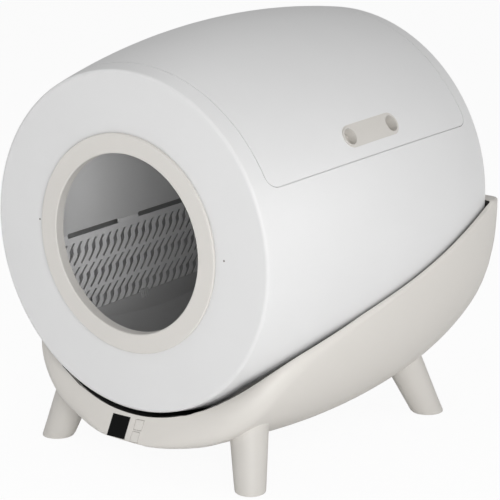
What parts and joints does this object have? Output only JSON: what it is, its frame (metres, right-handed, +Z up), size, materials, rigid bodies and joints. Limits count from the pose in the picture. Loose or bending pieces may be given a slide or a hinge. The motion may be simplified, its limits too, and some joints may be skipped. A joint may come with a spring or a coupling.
{
  "type": "self cleaning litter box",
  "caption": "Round white drum with a round entrance and a lidded waste bin, turning by gear in a beige cradle on splayed legs.",
  "frame": {"origin": "floor level, under the middle of the bounding box", "axes": "+Z up, +Y from the entrance to the rear, +X to the right seen from the entrance"},
  "size_m": [0.5374, 0.5445, 0.5887],
  "materials": {
    "drum_white": "smooth satin white moulding",
    "trim_beige": "warm beige satin moulding",
    "cradle_beige": "warm beige satin moulding",
    "liner_grey": "plain grey moulding",
    "sieve_grey": "plain grey moulding",
    "rubber_black": "matte rubber",
    "steel": "plated steel",
    "display_black": "dark glossy window",
    "board_green": "circuit board",
    "gear_grey": "plain acetal",
    "roller_grey": "plain grey plastic",
    "motor_dark": "dark moulded housing"
  },
  "bodies": {
    "base": {"cradle_shell": "cradle_beige", "cradle_tray": "cradle_beige", "front_left_leg": "cradle_beige", "front_right_leg": "cradle_beige", "rear_left_leg": "cradle_beige", "rear_right_leg": "cradle_beige", "foot_pads": "rubber_black", "leg_bolts": "steel", "roller_pins": "steel", "roller_brackets": "roller_grey", "display_window": "display_black", "control_board": "board_green", "drive_motor": "motor_dark", "power_inlet": "motor_dark", "position_sensor": "board_green"},
    "drum": {"drum_shell": "drum_white", "entrance_ring": "trim_beige", "rear_panel": "drum_white", "litter_liner": "liner_grey", "sieve_screen": "sieve_grey", "waste_wall": "liner_grey", "waste_ceiling": "liner_grey", "waste_bin": "liner_grey", "ring_gear": "gear_grey", "hinge_pins": "steel", "sill_magnets": "steel"},
    "lid": {"drum_lid": "drum_white", "lid_handle": "trim_beige", "lid_magnets": "steel"},
    "drive_pinion": {"drive_pinion": "gear_grey"},
    "upper_button": {"upper_button": "cradle_beige"},
    "lower_button": {"lower_button": "cradle_beige"},
    "front_left_roller": {"front_left_roller": "roller_grey"},
    "front_right_roller": {"front_right_roller": "roller_grey"},
    "rear_left_roller": {"rear_left_roller": "roller_grey"},
    "rear_right_roller": {"rear_right_roller": "roller_grey"}
  },
  "joints": [
    {"name": "drum_spin", "type": "hinge", "parent": "base", "child": "drum", "pos_m": [0, 0, 0.323], "axis": [0, 1, 0], "range_deg": [-210, 30]},
    {"name": "lid_hinge", "type": "hinge", "parent": "drum", "child": "lid", "pos_m": [-0.24083, 0.0317, 0.40513], "axis": [0, -1, 0], "range_deg": [0, 100]},
    {"name": "pinion_spin", "type": "hinge", "parent": "base", "child": "drive_pinion", "pos_m": [0, 0.23045, 0.119], "axis": [0, 1, 0], "continuous": true},
    {"name": "upper_button_press", "type": "slide", "parent": "base", "child": "upper_button", "axis": [0, 0.9487, -0.3162], "range_m": [0, 0.0012], "stiffness_N_per_m": 600},
    {"name": "lower_button_press", "type": "slide", "parent": "base", "child": "lower_button", "axis": [0, 0.9487, -0.3162], "range_m": [0, 0.0012], "stiffness_N_per_m": 600},
    {"name": "front_left_roller_spin", "type": "hinge", "parent": "base", "child": "front_left_roller", "pos_m": [-0.12557, -0.22555, 0.10105], "axis": [0, 1, 0], "continuous": true},
    {"name": "front_right_roller_spin", "type": "hinge", "parent": "base", "child": "front_right_roller", "pos_m": [0.12557, -0.22555, 0.10105], "axis": [0, 1, 0], "continuous": true},
    {"name": "rear_left_roller_spin", "type": "hinge", "parent": "base", "child": "rear_left_roller", "pos_m": [-0.13447, 0.17045, 0.08533], "axis": [0, 1, 0], "continuous": true},
    {"name": "rear_right_roller_spin", "type": "hinge", "parent": "base", "child": "rear_right_roller", "pos_m": [0.13447, 0.17045, 0.08533], "axis": [0, 1, 0], "continuous": true}
  ],
  "couplings": [
    {"joint": "pinion_spin", "follows": "drum_spin", "ratio": 9.5},
    {"joint": "front_left_roller_spin", "follows": "drum_spin", "ratio": -17.106},
    {"joint": "front_right_roller_spin", "follows": "drum_spin", "ratio": -17.106},
    {"joint": "rear_left_roller_spin", "follows": "drum_spin", "ratio": -18.438},
    {"joint": "rear_right_roller_spin", "follows": "drum_spin", "ratio": -18.438}
  ]
}
